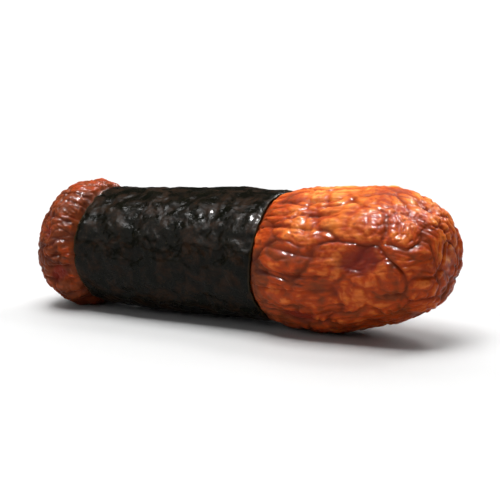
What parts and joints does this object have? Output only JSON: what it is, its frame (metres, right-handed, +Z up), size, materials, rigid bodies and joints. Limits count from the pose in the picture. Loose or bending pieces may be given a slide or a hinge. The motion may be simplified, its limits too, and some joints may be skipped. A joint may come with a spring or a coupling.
{
  "type": "japanese rice cracker",
  "caption": "Stick-shaped soy-glazed puffed rice cracker with swollen, cracked ends and a strip of nori seaweed wound round its middle.",
  "frame": {"origin": "on the floor, under the middle of the cracker's outline", "axes": "+X along the cracker towards its larger end, +Z up as it lies"},
  "size_m": [0.0334, 0.0108, 0.0109],
  "materials": {
    "glazed_dough": "puffed rice dough baked orange brown under a glossy soy glaze, darker in its cracks and towards the tips",
    "nori": "toasted seaweed sheet, near black green, finely crumpled and glossy with glaze"
  },
  "bodies": {
    "root": {"rice_dough": "glazed_dough", "nori_band": "nori"}
  },
  "joints": []
}
